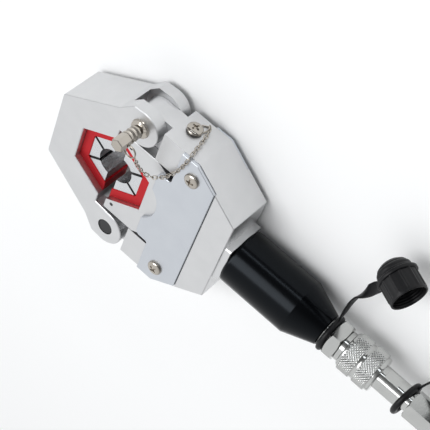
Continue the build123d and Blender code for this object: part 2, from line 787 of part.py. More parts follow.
def make_cap():
    """Standing on its dome's axis: the mouth looks along +Z, the brim lies in z = 0."""
    mouth_z = brim_thickness + cap_depth
    cup = [(0, brim_thickness)] + dome_profile() + [
        (brim_radius - 0.8, 0), (brim_radius, 0.8), (brim_radius, brim_thickness - 0.8),
        (brim_radius - 0.8, brim_thickness), (cap_radius, brim_thickness),
        (cap_radius, mouth_z - 0.6), (cap_radius - 0.6, mouth_z),
        (cap_radius - cap_wall, mouth_z), (cap_radius - cap_wall, brim_thickness),
    ]
    cap = turned_up(cup, 0, 0)
    rib_length = cap_depth - cap_rib_inset
    rib = Pos(cap_radius - 0.1, 0, brim_thickness + rib_length / 2) * Cylinder(
        cap_rib_radius, rib_length)
    for k in range(cap_ribs):
        cap += Rot(0, 0, 360 / cap_ribs * (k + 0.5)) * rib
    return cap


def place_cap(at):
    return Pos(*at) * Rot(0, 90 - cap_tilt, 0)


def rounded_route(points):
    """Straight runs joined by the largest arcs that the two runs beside each corner allow."""
    radii = []
    for before, here, after in zip(points, points[1:], points[2:]):
        run_in = Vector(*here) - Vector(*before)
        run_out = Vector(*after) - Vector(*here)
        half_turn = math.radians(run_in.get_angle(run_out)) / 2
        radii.append(0.45 * min(run_in.length, run_out.length) / math.tan(half_turn))
    return FilletPolyline(*points, radius=radii), radii


def make_strap(points):
    path, radii = rounded_route(points)
    section = Plane(origin=path @ 0, z_dir=path % 0, x_dir=(1, 0, 0)) * Rectangle(
        strap_width, strap_thickness)
    print("strap radii", [round(r, 1) for r in radii])
    return sweep(section, path)


def make_chain():
    path, radii = rounded_route(chain_route)
    print("chain radii", [round(r, 1) for r in radii], "length", round(path.length, 1))
    section = Plane(origin=path @ 0, z_dir=path % 0) * Circle(chain_radius)
    chain = sweep(section, path)
    print("chain volume over section times length",
          round(chain.volume / (math.pi * chain_radius**2 * path.length), 4))
    return chain


def make_chain_end_ring():
    turn = math.radians(chain_ring_turn)
    x = chain_screw_x + chain_ring_offset * math.cos(turn)
    z = chain_screw_z + chain_ring_offset * math.sin(turn)
    return Pos(x, arm_outer_y + chain_ring_wire, z) * Rot(90, 0, 0) * Torus(
        chain_ring_radius, chain_ring_wire - 0.05)


# ---- the parts, one file each
save(make_head(), "head_block")
save(make_yoke(), "yoke_body")
front_cover = make_cover()
save(front_cover, "front_cover_plate")
save(mirror(front_cover, Plane.XY), "rear_cover_plate")
save(make_cover_screws(), "cover_screws")
save(make_chain_screw(), "chain_screw")
save(make_chain_end_ring(), "chain_end_ring")
save(make_chain(), "chain")
save(make_hinge_pin(), "hinge_pin")
save(make_pull_pin_bush(), "pull_pin_bush")
save(make_pull_pin(), "pull_pin")
save(make_split_ring(), "split_ring")

for owner, split_x, side in (("head", 0, -1), ("ram", pusher_face_x, 1)):
    save(make_die_frame(split_x, side), f"{owner}_die_frame")
    save(make_spacers(split_x, side), f"{owner}_die_spacers")
    save(Pos(split_x, 0, 0) * make_dowel(side * cavity_half_flat), f"{owner}_die_dowel")
    for number, turn in enumerate((60, 0, -60), start=1):
        angle = turn if side > 0 else 180 - turn
        save(make_jaw(split_x, angle), f"{owner}_jaw_{number}")

save(make_pusher(), "pusher")
save(make_ram_rod(), "ram_rod")
save(make_piston(), "piston")
save(make_piston_seal(), "piston_seal")
save(make_return_spring(), "return_spring")
save(make_rod_bush(), "rod_bush")
save(make_rod_wiper(), "rod_wiper")
save(make_barrel(), "cylinder_barrel")

save(make_adapter(), "hex_adapter")
save(make_coupler_body(), "coupler_body")
save(make_coupler_sleeve(), "coupler_sleeve")
save(make_coupler_tube(), "coupler_tube")
save(make_end_fitting(), "end_fitting")

first_ring_x = (nose_end_x + groove_end_x) / 2
save(make_ring(first_ring_x, groove_radius + piece_gap, 0), "dust_cap_ring")
second_ring_x = end_start_x - second_ring_inset
save(make_ring(second_ring_x, tube_radius + piece_gap, second_ring_tilt), "plug_cap_ring")
save(Pos(first_ring_x, 0, 0) * place_cap(first_cap_from_ring) * make_cap(), "dust_cap")
save(Pos(second_ring_x, 0, 0) * place_cap(second_cap_from_ring) * make_cap(), "plug_cap")
save(Pos(first_ring_x, 0, 0) * make_strap(first_strap_route), "dust_cap_strap")
save(Pos(second_ring_x, 0, 0) * make_strap(second_strap_route), "plug_cap_strap")
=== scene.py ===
# %% [markdown]
# # Dressing a hose crimping head
# The construction model already holds every piece at its real size. This lesson gives each piece
# its finish, and makes the small forms that the construction leaves plain: cross recesses, a
# split ring and a wire loop, a return spring, a link chain, knurling, and the moulded rubber caps
# with their straps. Lengths are in metres, unless a comment says millimetres.

# %% Load the construction model
import json
import math

import bmesh
import bpy
import numpy as np
from mathutils import Matrix, Vector


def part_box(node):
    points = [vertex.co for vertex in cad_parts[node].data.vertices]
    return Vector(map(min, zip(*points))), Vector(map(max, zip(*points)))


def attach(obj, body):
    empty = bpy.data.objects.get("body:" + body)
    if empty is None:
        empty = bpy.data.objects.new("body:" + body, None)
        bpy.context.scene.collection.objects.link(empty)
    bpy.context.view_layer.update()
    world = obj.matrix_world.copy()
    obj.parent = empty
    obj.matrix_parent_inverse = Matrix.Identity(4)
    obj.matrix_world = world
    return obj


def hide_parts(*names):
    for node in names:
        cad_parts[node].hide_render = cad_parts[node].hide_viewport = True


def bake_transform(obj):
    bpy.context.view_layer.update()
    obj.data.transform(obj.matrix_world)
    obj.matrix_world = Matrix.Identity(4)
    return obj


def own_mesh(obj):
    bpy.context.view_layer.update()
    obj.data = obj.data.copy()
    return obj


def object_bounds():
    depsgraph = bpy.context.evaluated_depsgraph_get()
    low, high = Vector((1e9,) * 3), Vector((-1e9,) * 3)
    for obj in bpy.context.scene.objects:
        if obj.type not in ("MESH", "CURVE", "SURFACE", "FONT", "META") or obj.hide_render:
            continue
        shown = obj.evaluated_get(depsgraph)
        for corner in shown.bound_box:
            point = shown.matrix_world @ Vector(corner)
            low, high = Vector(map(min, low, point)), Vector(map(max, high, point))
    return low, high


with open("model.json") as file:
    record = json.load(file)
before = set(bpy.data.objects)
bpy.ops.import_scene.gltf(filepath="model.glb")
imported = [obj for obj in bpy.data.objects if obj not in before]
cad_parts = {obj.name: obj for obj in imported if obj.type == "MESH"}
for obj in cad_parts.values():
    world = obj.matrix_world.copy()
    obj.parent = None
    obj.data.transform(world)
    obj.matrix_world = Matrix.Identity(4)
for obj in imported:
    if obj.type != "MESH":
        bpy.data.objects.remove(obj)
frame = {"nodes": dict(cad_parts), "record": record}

construction_box = [list(corner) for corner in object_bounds()]
print("nodes:", len(frame["nodes"]), "box:", construction_box)

# %% [markdown]
# ## The camera
# A long lens stands in front of the pull pin's side, above the tool, and is rolled so that the
# ram points down to the right. A camera can be aimed with a look-at point, but that leaves its
# roll free. Here its right and forward directions are given instead. Whatever part of forward
# lies along right is taken off it, and a cross product finds the third direction, so the roll
# is exact.

# %% Camera
CAMERA_PLACE = Vector((0.35275, 0.90156, 0.69084))
CAMERA_RIGHT = Vector((0.7394, 0.2696, -0.6169))
CAMERA_FORWARD = Vector((-0.2215, -0.7678, -0.6011))
LENS = 116.5
SENSOR = 36.0

right = CAMERA_RIGHT.normalized()
back = -(CAMERA_FORWARD - CAMERA_FORWARD.dot(right) * right).normalized()
camera_turn = Matrix((right, back.cross(right), back)).transposed().to_4x4()
camera_data = bpy.data.cameras.new("camera")
camera_data.sensor_width = SENSOR
camera_data.lens = LENS
camera = bpy.data.objects.new("camera", camera_data)
camera.matrix_world = Matrix.Translation(CAMERA_PLACE) @ camera_turn
bpy.context.collection.objects.link(camera)
bpy.context.scene.camera = camera
print("camera at", tuple(round(v, 3) for v in camera.location), "looking along", tuple(-back))

# %% [markdown]
# ## The floor
# The tool lies on its back on a plain pale table. A large matt plane does for it. The plane is
# stage, not part of the tool, and it starts a hair below the lowest point, so that no face of
# the tool shares a place with it.

# %% Floor
FLOOR_GAP = 0.0002
FLOOR_Z = construction_box[0][2] - FLOOR_GAP
FLOOR_SIZE = 16
FLOOR_COLOUR = (0.95, 0.95, 0.945)
FLOOR_ROUGHNESS = 0.9

bpy.ops.mesh.primitive_plane_add(size=FLOOR_SIZE, location=(0.1, 0, FLOOR_Z))
floor = bpy.context.object
floor.name = "floor"
pale_floor = bpy.data.materials.new("pale_floor")
pale_floor.use_nodes = True
floor_shader = pale_floor.node_tree.nodes["Principled BSDF"]
floor_shader.inputs["Base Color"].default_value = (*FLOOR_COLOUR, 1)
floor_shader.inputs["Roughness"].default_value = FLOOR_ROUGHNESS
floor.data.materials.append(pale_floor)
print("floor at", round(FLOOR_Z, 4))

# %% [markdown]
# ## A shaded sky
# Bare metal shows what it mirrors, so the room matters as much as the lamps. With lamps alone,
# most of a flat face would mirror nothing. So the sky itself is shaded: bright behind the tool,
# above it and toward its head, and dark on the opposite side. Each flat face then takes one even
# grey from the way it faces. An image of a studio would do the same with more to carry. Here a
# dot product says how far a direction turns toward the bright side, from -1 to 1, and a ramp
# turns that number into a grey.

# %% Sky
BRIGHT_SIDE = (-0.3, -0.54, 0.78)
# Each pair is a share of the way from the dark side to the bright one, and the grey there.
SKY_GREYS = ((0.02, 0.05), (0.52, 0.17), (0.74, 0.56), (0.88, 0.82), (0.98, 0.84))
SKY_TINT = (0.98, 0.99, 1)
SKY_STRENGTH = 1.16


def new_node(tree, kind, values):
    """A node of the given kind in a node tree. values maps a socket's name, or its number where
    several share a name, to its value."""
    node = tree.nodes.new("ShaderNode" + kind)
    for socket, value in values.items():
        node.inputs[socket].default_value = value
    return node


world = bpy.data.worlds.new("studio")
world.use_nodes = True
sky_tree = world.node_tree
sky = sky_tree.nodes["Background"]
direction = new_node(sky_tree, "TexCoord", {})
toward_bright = new_node(sky_tree, "VectorMath", {1: BRIGHT_SIDE})
toward_bright.operation = "DOT_PRODUCT"
bright_share = new_node(sky_tree, "MapRange", {"From Min": -1})
sky_ramp = new_node(sky_tree, "ValToRGB", {})
stops = sky_ramp.color_ramp.elements
for share_there, grey in SKY_GREYS:
    stops.new(share_there).color = (*(tint * grey for tint in SKY_TINT), 1)
stops.remove(stops[0])
stops.remove(stops[-1])
sky_tree.links.new(direction.outputs["Generated"], toward_bright.inputs[0])
sky_tree.links.new(toward_bright.outputs["Value"], bright_share.inputs["Value"])
sky_tree.links.new(bright_share.outputs["Result"], sky_ramp.inputs["Fac"])
sky_tree.links.new(sky_ramp.outputs["Color"], sky.inputs["Color"])
sky.inputs["Strength"].default_value = SKY_STRENGTH
bpy.context.scene.world = world
print("sky stops:", [round(stop.position, 2) for stop in stops])

# %% [markdown]
# ## The lamps
# One broad key panel gives the soft shadows their direction. A point lamp would make them hard,
# and the sky alone makes hardly any. One long low strip draws the lengthwise highlight on the
# black cylinder, because a round bar mirrors a long lamp as a long line.

# %% Lamps
TOOL_MIDDLE = (0.12, 0.0, 0.0)
KEY_SIZE, KEY_POWER, KEY_COLOUR = (1.7, 1.1), 23, (0.97, 0.98, 1.0)
STRIP_SIZE, STRIP_POWER, STRIP_COLOUR = (2.2, 0.12), 4.5, (0.9, 0.95, 1.0)


def area_light(name, place, size, power, colour):
    """A flat panel of light, width by height in metres, that faces the tool's middle."""
    data = bpy.data.lights.new(name, "AREA")
    data.shape = "RECTANGLE"
    data.size, data.size_y = size
    data.energy = power
    data.color = colour
    lamp = bpy.data.objects.new(name, data)
    lamp.location = place
    facing = Vector(TOOL_MIDDLE) - Vector(place)
    lamp.rotation_euler = facing.to_track_quat("-Z", "Y").to_euler()
    bpy.context.collection.objects.link(lamp)


area_light("key_panel", (-0.55, 0.75, 1.9), KEY_SIZE, KEY_POWER, KEY_COLOUR)
area_light("low_strip", (0.2, 1.9, 0.5), STRIP_SIZE, STRIP_POWER, STRIP_COLOUR)
bpy.context.scene.view_settings.view_transform = "Standard"

# %% [markdown]
# ## A finish with some life
# Real surfaces are never one flat value. A finish could be an image, but an image has to be
# wrapped round the piece, and blurs when seen close. Noise needs neither, so every finish below
# starts from the same small recipe: one noise shifts the colour by a few hundredths, and a finer
# one shifts the gloss and raises a bump for the grain. The noises read the object's own
# coordinates, in metres, so a scale of 1000 means a grain of about one millimetre.

# %% A finish recipe
BLOTCH_SCALE = 60
finishes = {}


def finish(name, dark, light, gloss, grain, metallic=1.0, stretch=(1, 1, 1), specular=0.5,
           tint=(1, 1, 1)):
    """A Principled finish. Colour is dark plus the soft noise times (light minus dark). Roughness
    goes from the first gloss value to the second while the fine noise goes from 0.3 to 0.7. grain
    is (scale, strength, distance in metres) of that fine noise's bump, and stretch multiplies its
    coordinates, so a large number makes lines across that axis. specular and tint set how
    strongly, and in what colour, a finish that is no metal mirrors."""
    material = bpy.data.materials.new(name)
    material.use_nodes = True
    tree = material.node_tree
    join = tree.links.new
    shader = tree.nodes["Principled BSDF"]
    shader.inputs["Metallic"].default_value = metallic
    shader.inputs["Specular IOR Level"].default_value = specular
    shader.inputs["Specular Tint"].default_value = (*tint, 1)

    own_place = new_node(tree, "TexCoord", {}).outputs["Object"]
    blotches = new_node(tree, "TexNoise", {"Scale": BLOTCH_SCALE, "Detail": 3})
    join(own_place, blotches.inputs["Vector"])
    colours = new_node(tree, "Mix", {6: (*dark, 1), 7: (*light, 1)})
    colours.data_type = "RGBA"
    join(blotches.outputs["Fac"], colours.inputs[0])
    join(colours.outputs[2], shader.inputs["Base Color"])

    grain_scale, bump_strength, bump_distance = grain
    drawn_out = new_node(tree, "Mapping", {"Scale": stretch})
    join(own_place, drawn_out.inputs["Vector"])
    grains = new_node(tree, "TexNoise", {"Scale": grain_scale, "Detail": 2})
    join(drawn_out.outputs["Vector"], grains.inputs["Vector"])
    glosses = new_node(tree, "MapRange", {"From Min": 0.3, "From Max": 0.7,
                                          "To Min": gloss[0], "To Max": gloss[1]})
    join(grains.outputs["Fac"], glosses.inputs["Value"])
    join(glosses.outputs["Result"], shader.inputs["Roughness"])
    bump = new_node(tree, "Bump", {"Strength": bump_strength, "Distance": bump_distance})
    join(grains.outputs["Fac"], bump.inputs["Height"])
    join(bump.outputs["Normal"], shader.inputs["Normal"])
    finishes[name] = material


print("blotches about", round(1000 / BLOTCH_SCALE), "mm across")

# %% [markdown]
# ## The light metals
# The blocks are machined aluminium, blasted and clear anodised: silver, satin, with a very fine
# even grain. The covers are the same metal with a cooler, slightly smoother face. Nickel is
# warmer and mirrors more, zinc plate lies between the two, and the jaws and the inner parts are
# ground steel and bronze, whose grain is drawn out into lines. A metal's look is its mirror, so
# two tones for what it mirrors and two gloss values say nearly all there is.

# %% Light metals
EVEN_GRAIN, SMOOTH_GRAIN = (2600, 0.12, 0.00005), (2600, 0.08, 0.00004)
GROUND_GRAIN, JAW_GRAIN = (700, 0.1, 0.00005), (700, 0.12, 0.00005)
ACROSS_RAM = (8, 1, 1)

finish("satin_aluminium", (0.63, 0.635, 0.64), (0.71, 0.71, 0.715), (0.34, 0.44), EVEN_GRAIN)
finish("cover_aluminium", (0.57, 0.595, 0.635), (0.63, 0.655, 0.69), (0.30, 0.38), SMOOTH_GRAIN)
finish("nickel", (0.40, 0.37, 0.33), (0.54, 0.50, 0.445), (0.08, 0.15), (900, 0.05, 0.00003))
finish("zinc_plate", (0.46, 0.465, 0.455), (0.57, 0.575, 0.56), (0.11, 0.19),
       (500, 0.05, 0.00003), stretch=(5, 1, 1))
finish("jaw_steel", (0.62, 0.635, 0.65), (0.71, 0.72, 0.735), (0.22, 0.34), JAW_GRAIN,
       stretch=(6, 6, 0.4))
finish("tool_steel", (0.50, 0.51, 0.53), (0.60, 0.61, 0.63), (0.2, 0.32), GROUND_GRAIN,
       stretch=ACROSS_RAM)
finish("bronze", (0.50, 0.34, 0.16), (0.60, 0.42, 0.21), (0.25, 0.38), GROUND_GRAIN,
       stretch=ACROSS_RAM)
print("light metals:", sorted(finishes))

# %% [markdown]
# ## Red, black and rubber
# The die frames are anodised red: a dye in a thin clear layer, so metal still shines through it,
# and they are three quarters metal. The cylinder's black layer hides its metal wholly, so it is
# no metal here, only a very dark base that mirrors weakly, a little bluish. The hinge pin is
# blackened steel. The caps, straps and seals are soft black rubber. It is rough, but not flat:
# a weak sheen shows its curves, and a fine pebble from the mould breaks the highlight.

# %% Red, black and rubber
finish("red_anodised", (0.46, 0.008, 0.013), (0.57, 0.012, 0.020), (0.30, 0.42),
       (2200, 0.12, 0.00005), metallic=0.75)
finish("black_anodised", (0.0008, 0.0009, 0.0012), (0.0016, 0.0018, 0.0024), (0.16, 0.22),
       (420, 0.04, 0.00004), metallic=0.0, stretch=(9, 1, 1), specular=0.15, tint=(0.80, 0.90, 1.0))
finish("black_steel", (0.012, 0.012, 0.013), (0.03, 0.03, 0.032), (0.34, 0.5),
       (1500, 0.15, 0.00005), metallic=0.3)
finish("black_rubber", (0.002, 0.002, 0.0025), (0.004, 0.004, 0.005), (0.34, 0.46),
       (2400, 0.2, 0.00005), metallic=0.0, specular=0.28)
print("finishes:", len(finishes))

# %% [markdown]
# ## Dressing the construction
# Each solid of the construction names the finish it should have. Choosing them here again would
# only let the two drift apart, so one loop reads the names and gives every node its finish.

# %% Each node takes its slot's finish
for part in frame["record"]["subparts"]:
    node = frame["nodes"][part["node"]]
    node.data.materials.clear()
    node.data.materials.append(finishes[part["material_slot"]])

# %% [markdown]
# ## From arrays to meshes
# The small forms could be modelled by hand, with Spin and Extrude. Here each one is a sheet of
# points worked out as whole arrays, because a formula can be changed by one number and gives the
# same mesh every time. One parameter runs along the shape and the other goes round it. The quads
# between neighbouring rows and columns close it into a skin. Points that fall together, as at a
# pole, are merged, and then the faces are turned outwards.

# %% Faces of a grid
def quads(rows, columns, round_rows=False):
    """Faces of a rows by columns grid whose columns go round and meet. With round_rows the last
    row meets the first, as on a ring. Each face joins point (r, c) to (r, c+1), (r+1, c+1) and
    (r+1, c)."""
    row = np.arange(rows if round_rows else rows - 1)[:, None]
    column = np.arange(columns)[None, :]
    next_row, next_column = (row + 1) % rows, (column + 1) % columns
    corners = [row * columns + column, row * columns + next_column,
               next_row * columns + next_column, next_row * columns + column]
    return np.stack(corners, axis=-1).reshape(-1, 4)


print("a tube of 3 rings with 8 points each has", len(quads(3, 8)), "faces")

# %% From a skin to a piece
MERGE_DISTANCE = 1e-7


def make_piece(name, points, faces, body, slot, replaced=(), sharp_angle=38):
    """Puts the points and faces into a mesh, merges points that fall together, turns the faces
    outwards, and keeps edges sharper than sharp_angle degrees crisp. Then it gives the piece its
    body when one is named, and its slot's finish, and hides the nodes that it replaces."""
    mesh = bpy.data.meshes.new(name)
    mesh.from_pydata(np.asarray(points).reshape(-1, 3).tolist(), [], np.asarray(faces).tolist())
    skin = bmesh.new()
    skin.from_mesh(mesh)
    bmesh.ops.remove_doubles(skin, verts=skin.verts, dist=MERGE_DISTANCE)
    bmesh.ops.recalc_face_normals(skin, faces=skin.faces)
    skin.to_mesh(mesh)
    skin.free()
    mesh.polygons.foreach_set("use_smooth", np.ones(len(mesh.polygons), dtype=bool))
    mesh.set_sharp_from_angle(angle=math.radians(sharp_angle))
    piece = bpy.data.objects.new(name, mesh)
    bpy.context.collection.objects.link(piece)
    mesh.materials.append(finishes[slot])
    if body:
        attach(piece, body)
    if replaced:
        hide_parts(*replaced)
    print(name, "faces:", len(mesh.polygons))
    return piece


# %% Joining shapes, and measuring a node
def several(shapes):
    """Joins (points, faces) shapes into one pair. Each shape's face numbers are raised by the
    number of points before it."""
    points, faces, first = [], [], 0
    for shape_points, shape_faces in shapes:
        shape_points = np.asarray(shape_points).reshape(-1, 3)
        points.append(shape_points)
        faces.append(np.asarray(shape_faces) + first)
        first += len(shape_points)
    return np.concatenate(points), np.concatenate(faces)


def box_of(node):
    """The node's lowest corner, its highest corner, and its middle, which is half their sum."""
    low, high = (np.array(corner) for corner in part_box(node))
    return low, high, (low + high) / 2


print("the dust cap's middle:", np.round(box_of("dust_cap")[2], 4).tolist())

# %% [markdown]
# ## Pan head screws
# A pan head is a low dome with a short upright rim, and a cross recess that tapers as it goes
# down. Cutting the cross with a boolean works, but it leaves long thin faces that shade badly.
# On a polar grid the whole head is one height over the radius and the angle, so the recess is
# only a depth taken away from the dome wherever a point falls inside the cross.

# %% Dome and cross recess
HEAD_RADIUS = 0.0070
HEAD_HEIGHT = 0.0034
RIM_HEIGHT = 0.0011
CROSS_REACH = 0.0037
CROSS_HALF_WIDTH = 0.00092
CROSS_DEPTH = 0.0027
FLANK_SLOPE = 0.00022
END_SLOPE = 0.0006


def dome_height(radius):
    """Rim height plus a flattened dome: the rest of the height times (1 - (r/R)^2.6) to the
    power 0.62."""
    way_out = np.clip(radius / HEAD_RADIUS, 0, 1)
    return RIM_HEIGHT + (HEAD_HEIGHT - RIM_HEIGHT) * (1 - way_out**2.6) ** 0.62


def cross_depth(across, along):
    """How deep the recess is: the full depth times (1 - 0.6 of the way out along a bar), so 0.4
    of it is left at the bars' ends, and nothing outside the cross. A bar's half width falls from
    1.15 to 0.8 of its named value on the way out. Its flanks and ends are short slopes, so that
    the walls lean as a driver's do."""
    reach = np.maximum(abs(across), abs(along))
    offset = np.minimum(abs(across), abs(along))
    way_out = reach / CROSS_REACH
    flank = np.clip((CROSS_HALF_WIDTH * (1.15 - 0.35 * way_out) - offset) / FLANK_SLOPE, 0, 1)
    end = np.clip((CROSS_REACH - reach) / END_SLOPE, 0, 1)
    return CROSS_DEPTH * np.minimum(flank, end) * (1 - 0.6 * way_out)


print("cross depth in mm, in the middle and where the end slope starts:",
      round(1000 * float(cross_depth(0, 0)), 2),
      round(1000 * float(cross_depth(0, CROSS_REACH - END_SLOPE)), 2))

# %% Screw heads
FINE_RADIUS = 0.0042
FINE_ROWS, OUTER_ROWS, HEAD_COLUMNS = 42, 12, 144


def screw_head(seat, out, turn):
    """A head whose underside is at seat and whose dome points along out. Rows run from the dome's
    middle out to the rim, down it, and in under the head. Inside the fine radius they are even,
    and outside they crowd toward the rim as a sine does. turn is the cross's angle in degrees."""
    inner = np.linspace(0, FINE_RADIUS, FINE_ROWS)
    crowded = np.sin(np.linspace(0, np.pi / 2, OUTER_ROWS))[1:]
    outer = FINE_RADIUS + (HEAD_RADIUS - FINE_RADIUS) * crowded
    radius = np.concatenate([inner, outer])[:, None]
    angle = np.linspace(0, 2 * np.pi, HEAD_COLUMNS, endpoint=False)[None, :]
    across, along = radius * np.cos(angle), radius * np.sin(angle)
    top = np.stack([across, along, dome_height(radius) - cross_depth(across, along)], axis=-1)
    foot = np.stack([HEAD_RADIUS * np.cos(angle), HEAD_RADIUS * np.sin(angle), 0 * angle], axis=-1)
    rows = np.concatenate([top, foot, 0 * foot])
    out = Vector(out)
    side = out.orthogonal().normalized()
    side.rotate(Matrix.Rotation(math.radians(turn), 3, out))
    axes = np.array([side, out.cross(side), out])
    return rows @ axes + np.array(seat), quads(len(rows), HEAD_COLUMNS)


low, high, centre = box_of("cover_screws")
heads = []
for head_y, cross_turn in ((low[1] + HEAD_RADIUS, 12), (high[1] - HEAD_RADIUS, 55)):
    heads.append(screw_head((centre[0], head_y, high[2] - HEAD_HEIGHT), (0, 0, 1), cross_turn))
    heads.append(screw_head((centre[0], head_y, low[2] + HEAD_HEIGHT), (0, 0, -1), cross_turn + 20))
make_piece("cover_screw_heads", *several(heads), "yoke", "nickel", ["cover_screws"])

low, high, centre = box_of("chain_screw")
chain_head = screw_head((centre[0], high[1] - HEAD_HEIGHT, centre[2]), (0, 1, 0), 30)
make_piece("chain_screw_head", *chain_head, "yoke", "nickel", ["chain_screw"])

# %% [markdown]
# ## The split ring
# A split ring is about two turns of wire wound flat against each other, like a key ring. Two
# plain rings would look the same from far off, but then no end of the wire would show. So the
# wire's section, a circle, is carried along one path that goes round nearly twice and steps over
# by one wire at the end of its first turn.

# %% Carry a section along a path
def frames(path, up_hint):
    """Tangent, side and up directions at each point of a path. Side is up_hint crossed with the
    tangent, and up is the tangent crossed with side."""
    tangent = np.gradient(path, axis=0)
    tangent /= np.linalg.norm(tangent, axis=1, keepdims=True)
    side = np.cross(np.broadcast_to(up_hint, path.shape), tangent)
    side /= np.linalg.norm(side, axis=1, keepdims=True)
    return tangent, side, np.cross(tangent, side)


def wire(path, radius, up_hint, steps=12):
    """A round wire along an open path: each point of the path plus the radius times (side times
    the cosine plus up times the sine). The radius is nothing at the two end points and 0.7 of
    itself beside them, which rounds the ends off."""
    tangent, side, up = frames(path, up_hint)
    round_off = np.ones(len(path))
    round_off[[0, 1, -2, -1]] = (0, 0.7, 0.7, 0)
    angle = np.linspace(0, 2 * np.pi, steps, endpoint=False)[None, :, None]
    ring = side[:, None] * np.cos(angle) + up[:, None] * np.sin(angle)
    return path[:, None] + radius * round_off[:, None, None] * ring, quads(len(path), steps)


# %% Split ring
RING_TURNS = 1.9
RING_START = 2.6
STEP_OVER_START, STEP_OVER_LENGTH = 1.75 * np.pi, 0.4 * np.pi

low, high, centre = box_of("split_ring")
ring_wire = (high[2] - low[2]) / 4
ring_angle = np.linspace(0, 2 * np.pi * RING_TURNS, 120)
stepped = np.clip((ring_angle - STEP_OVER_START) / STEP_OVER_LENGTH, 0, 1)
ring_path = np.stack([
    centre[0] + ((high[0] - low[0]) / 2 - ring_wire) * np.cos(ring_angle + RING_START),
    centre[1] + ((high[1] - low[1]) / 2 - ring_wire) * np.sin(ring_angle + RING_START),
    centre[2] + ring_wire * (2 * stepped - 1),
], axis=-1)
make_piece("key_ring", *wire(ring_path, ring_wire, (0, 0, 1)), "pull_pin", "nickel",
           ["split_ring"])

# %% [markdown]
# ## The chain's loop
# The chain hangs on a wire loop that goes round the shank of a screw at one end and holds the
# first link at the other. A torus is round and would stand off the link, so the loop is one
# closed, egg-shaped turn: a cosine along its length and a sine across it, and the sine is a
# quarter smaller toward the link.

# %% Loop under the chain's screw
LOOP_TIP_X, LOOP_TIP_Z = 0.0572, -0.0146
LOOP_BEHIND_SCREW = 0.0040
LOOP_HALF_WIDTH = 0.0040
LOOP_ROWS, LOOP_COLUMNS = 64, 12

low, high, centre = box_of("chain_end_ring")
loop_wire = (high[1] - low[1]) / 2
loop_tip = np.array((LOOP_TIP_X, centre[1], LOOP_TIP_Z))
toward_tip = (loop_tip - box_of("chain_screw")[2]) * (1, 0, 1)
tip_distance = float(np.linalg.norm(toward_tip))
toward_tip /= tip_distance
half_length = (tip_distance + LOOP_BEHIND_SCREW) / 2
loop_angle = np.linspace(0, 2 * np.pi, LOOP_ROWS, endpoint=False)[:, None]
narrowed = LOOP_HALF_WIDTH * np.sin(loop_angle) * (1 - 0.25 * np.cos(loop_angle))
loop_path = (loop_tip - half_length * toward_tip + half_length * np.cos(loop_angle) * toward_tip
             + narrowed * np.cross(toward_tip, (0, 1, 0)))
outward = np.cross(np.roll(loop_path, -1, axis=0) - np.roll(loop_path, 1, axis=0), (0, 1, 0))
outward /= np.linalg.norm(outward, axis=1, keepdims=True)
section = np.linspace(0, 2 * np.pi, LOOP_COLUMNS, endpoint=False)[None, :, None]
loop_points = loop_path[:, None] + loop_wire * (
    np.cos(section) * outward[:, None] + np.sin(section) * np.array((0, 1, 0)))
make_piece("chain_loop", loop_points, quads(LOOP_ROWS, LOOP_COLUMNS, round_rows=True), "yoke",
           "nickel", ["chain_end_ring"])
print("loop length in mm:", round(2000 * half_length, 1))

# %% [markdown]
# ## The return spring
# A stiff spring of rectangular wire stands in the cylinder and pushes the piston back. It is a
# rectangle carried along a helix. Nobody sees it, and a plain tube would do at rest, but the
# piston comes toward it. Here the spring is drawn at rest only, with a mesh of its own.

# %% Return spring
SPRING_COILS = 6
SPRING_WIRE = (0.0024, 0.0030)
STEPS_PER_COIL = 48

low, high, centre = box_of("return_spring")
coil_angle = np.linspace(0, 2 * np.pi * SPRING_COILS, STEPS_PER_COIL * SPRING_COILS + 1)[:, None]
coil_rise = high[0] - low[0] - SPRING_WIRE[1]
coil_x = low[0] + SPRING_WIRE[1] / 2 + coil_rise * coil_angle / coil_angle[-1]
corner_out, corner_along = np.array([[1, 1], [-1, 1], [-1, -1], [1, -1]]).T[:, None] / 2
coil_radius = (high[1] - low[1]) / 2 + SPRING_WIRE[0] * (corner_out - 0.5)
coil = np.stack([coil_x + SPRING_WIRE[1] * corner_along, coil_radius * np.cos(coil_angle),
                 coil_radius * np.sin(coil_angle)], axis=-1)
coil_ends = np.repeat(coil[[0, -1]].mean(axis=1, keepdims=True), 4, axis=1)
coil = np.concatenate([coil_ends[:1], coil, coil_ends[1:]])
spring = make_piece("return_coil", coil, quads(len(coil), 4), "yoke", "tool_steel",
                    ["return_spring"])
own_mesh(spring)

# %% [markdown]
# ## The chain's way
# The chain keeps the pull pin from getting lost. A physics run could let it fall, but how it
# comes to rest is hard to steer, so its route is listed: from the loop under the screw,
# over the arm's edge, across the cover and up to the split ring. A smooth curve goes through the
# route.

# %% A smooth path through a route
CURVE_STEPS = 24


def smooth_path(name, route):
    """The points of a smooth NURBS curve of order 3 through a route in millimetres, in metres,
    and its length, which is the sum of the steps between them."""
    curve = bpy.data.curves.new(name, "CURVE")
    curve.dimensions = "3D"
    curve.resolution_u = CURVE_STEPS
    spline = curve.splines.new("NURBS")
    spline.points.add(len(route) - 1)
    control = np.ones((len(route), 4))
    control[:, :3] = np.array(route) / 1000
    spline.points.foreach_set("co", control.ravel())
    spline.order_u = 3
    spline.use_endpoint_u = True
    line = bpy.data.objects.new(name, curve)
    mesh = bpy.data.meshes.new_from_object(line)
    points = np.empty(len(mesh.vertices) * 3)
    mesh.vertices.foreach_get("co", points)
    points = points.reshape(-1, 3)
    bpy.data.objects.remove(line)
    return points, float(np.linalg.norm(np.diff(points, axis=0), axis=1).sum())


